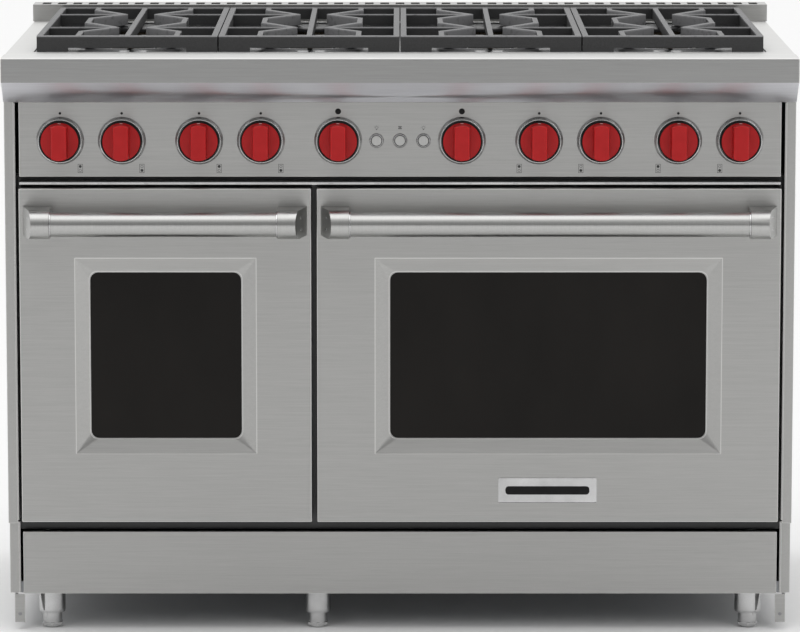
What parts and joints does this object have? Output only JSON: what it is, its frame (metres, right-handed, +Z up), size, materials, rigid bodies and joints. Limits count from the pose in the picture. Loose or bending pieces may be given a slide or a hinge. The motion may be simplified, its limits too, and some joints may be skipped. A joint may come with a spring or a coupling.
{
  "type": "freestanding gas range",
  "caption": "Wide freestanding gas range with cast-iron grates, two drop-down oven doors, round knobs and levelling feet.",
  "frame": {"origin": "on the floor under the middle of the outer box, with the feet screwed right in", "axes": "+X to the right of a cook facing the range, +Y to the back, +Z up"},
  "size_m": [1.216, 0.755, 0.93],
  "materials": {
    "stainless": "brushed, satin",
    "bright_steel": "polished, fine grain",
    "galvanised": "spangled, dull",
    "black_enamel": "gloss porcelain",
    "oven_enamel": "speckled porcelain",
    "cast_iron": "matte enamel, fine texture",
    "brass": "machined",
    "knob_red": "satin",
    "window_glass": "dark tinted, polished",
    "aluminium": "stamped"
  },
  "bodies": {
    "body": {"side_panel_left": "stainless", "side_panel_right": "stainless", "rear_panel": "galvanised", "base_frame": "galvanised", "front_frame": "black_enamel", "kick_panel": "stainless", "leg_bracket_left": "stainless", "leg_bracket_right": "stainless", "bullnose": "stainless", "cooktop_frame": "stainless", "burner_pan": "black_enamel", "backguard": "stainless", "control_panel": "stainless", "gas_manifold": "brass", "vent_trim": "bright_steel", "fan_cover": "oven_enamel", "grate_1": "cast_iron", "burner_front_1": "cast_iron", "burner_rear_1": "cast_iron", "grate_2": "cast_iron", "burner_front_2": "cast_iron", "burner_rear_2": "cast_iron", "grate_3": "cast_iron", "burner_front_3": "cast_iron", "burner_rear_3": "cast_iron", "grate_4": "cast_iron", "burner_front_4": "cast_iron", "burner_rear_4": "cast_iron", "oven_liner_left": "oven_enamel", "oven_liner_right": "oven_enamel"},
    "door_left": {"door_left_skin": "stainless", "door_left_inner": "black_enamel", "door_left_glass": "window_glass", "door_left_handle": "bright_steel"},
    "door_right": {"door_right_skin": "stainless", "door_right_inner": "black_enamel", "door_right_glass": "window_glass", "door_right_handle": "bright_steel", "badge_plate": "bright_steel"},
    "rack_left": {"oven_rack_left": "bright_steel"},
    "rack_right": {"oven_rack_right": "bright_steel"},
    "fan": {"convection_fan": "aluminium"},
    "knob_burner_1": {"knob_burner_1": "knob_red"},
    "knob_burner_2": {"knob_burner_2": "knob_red"},
    "knob_burner_3": {"knob_burner_3": "knob_red"},
    "knob_burner_4": {"knob_burner_4": "knob_red"},
    "knob_oven_left": {"knob_oven_left": "knob_red"},
    "knob_oven_right": {"knob_oven_right": "knob_red"},
    "knob_burner_5": {"knob_burner_5": "knob_red"},
    "knob_burner_6": {"knob_burner_6": "knob_red"},
    "knob_burner_7": {"knob_burner_7": "knob_red"},
    "knob_burner_8": {"knob_burner_8": "knob_red"},
    "button_light_left": {"button_light_left": "bright_steel"},
    "button_fan": {"button_fan": "bright_steel"},
    "button_light_right": {"button_light_right": "bright_steel"},
    "foot_front_left": {"foot_front_left": "bright_steel"},
    "foot_front_middle": {"foot_front_middle": "bright_steel"},
    "foot_front_right": {"foot_front_right": "bright_steel"},
    "foot_rear_left": {"foot_rear_left": "bright_steel"},
    "foot_rear_right": {"foot_rear_right": "bright_steel"}
  },
  "joints": [
    {"name": "door_left_hinge", "type": "hinge", "parent": "body", "child": "door_left", "pos_m": [-0.36, -0.2825, 0.19], "axis": [1, 0, 0], "range_deg": [0, 88]},
    {"name": "door_right_hinge", "type": "hinge", "parent": "body", "child": "door_right", "pos_m": [0.228, -0.2825, 0.19], "axis": [1, 0, 0], "range_deg": [0, 88]},
    {"name": "rack_left_slide", "type": "slide", "parent": "body", "child": "rack_left", "axis": [0, -1, 0], "range_m": [0, 0.31]},
    {"name": "rack_right_slide", "type": "slide", "parent": "body", "child": "rack_right", "axis": [0, -1, 0], "range_m": [0, 0.31]},
    {"name": "knob_burner_1_turn", "type": "hinge", "parent": "body", "child": "knob_burner_1", "pos_m": [-0.5216, -0.3025, 0.77], "axis": [0, -1, 0], "range_deg": [0, 270]},
    {"name": "knob_burner_2_turn", "type": "hinge", "parent": "body", "child": "knob_burner_2", "pos_m": [-0.4269, -0.3025, 0.77], "axis": [0, -1, 0], "range_deg": [0, 270]},
    {"name": "knob_burner_3_turn", "type": "hinge", "parent": "body", "child": "knob_burner_3", "pos_m": [-0.30825, -0.3025, 0.77], "axis": [0, -1, 0], "range_deg": [0, 270]},
    {"name": "knob_burner_4_turn", "type": "hinge", "parent": "body", "child": "knob_burner_4", "pos_m": [-0.21355, -0.3025, 0.77], "axis": [0, -1, 0], "range_deg": [0, 270]},
    {"name": "knob_oven_left_turn", "type": "hinge", "parent": "body", "child": "knob_oven_left", "pos_m": [-0.0949, -0.3025, 0.77], "axis": [0, -1, 0], "range_deg": [0, 300]},
    {"name": "knob_oven_right_turn", "type": "hinge", "parent": "body", "child": "knob_oven_right", "pos_m": [0.0949, -0.3025, 0.77], "axis": [0, -1, 0], "range_deg": [0, 300]},
    {"name": "knob_burner_5_turn", "type": "hinge", "parent": "body", "child": "knob_burner_5", "pos_m": [0.21355, -0.3025, 0.77], "axis": [0, -1, 0], "range_deg": [0, 270]},
    {"name": "knob_burner_6_turn", "type": "hinge", "parent": "body", "child": "knob_burner_6", "pos_m": [0.30825, -0.3025, 0.77], "axis": [0, -1, 0], "range_deg": [0, 270]},
    {"name": "knob_burner_7_turn", "type": "hinge", "parent": "body", "child": "knob_burner_7", "pos_m": [0.4269, -0.3025, 0.77], "axis": [0, -1, 0], "range_deg": [0, 270]},
    {"name": "knob_burner_8_turn", "type": "hinge", "parent": "body", "child": "knob_burner_8", "pos_m": [0.5216, -0.3025, 0.77], "axis": [0, -1, 0], "range_deg": [0, 270]},
    {"name": "button_light_left_press", "type": "slide", "parent": "body", "child": "button_light_left", "axis": [0, 1, 0], "range_m": [0, 0.002], "stiffness_N_per_m": 400, "springref_m": -0.001},
    {"name": "button_fan_press", "type": "slide", "parent": "body", "child": "button_fan", "axis": [0, 1, 0], "range_m": [0, 0.002], "stiffness_N_per_m": 400, "springref_m": -0.001},
    {"name": "button_light_right_press", "type": "slide", "parent": "body", "child": "button_light_right", "axis": [0, 1, 0], "range_m": [0, 0.002], "stiffness_N_per_m": 400, "springref_m": -0.001},
    {"name": "foot_front_left_adjust", "type": "slide", "parent": "body", "child": "foot_front_left", "axis": [0, 0, -1], "range_m": [0, 0.038]},
    {"name": "foot_front_middle_adjust", "type": "slide", "parent": "body", "child": "foot_front_middle", "axis": [0, 0, -1], "range_m": [0, 0.038]},
    {"name": "foot_front_right_adjust", "type": "slide", "parent": "body", "child": "foot_front_right", "axis": [0, 0, -1], "range_m": [0, 0.038]},
    {"name": "foot_rear_left_adjust", "type": "slide", "parent": "body", "child": "foot_rear_left", "axis": [0, 0, -1], "range_m": [0, 0.038]},
    {"name": "foot_rear_right_adjust", "type": "slide", "parent": "body", "child": "foot_rear_right", "axis": [0, 0, -1], "range_m": [0, 0.038]},
    {"name": "fan_spin", "type": "hinge", "parent": "body", "child": "fan", "pos_m": [0.22865, 0.2425, 0.43745], "axis": [0, 1, 0], "continuous": true}
  ],
  "couplings": [
    {"joint": "rack_left_slide", "follows": "door_left_hinge", "m_per_rad": 0.2},
    {"joint": "rack_right_slide", "follows": "door_right_hinge", "m_per_rad": 0.2}
  ]
}
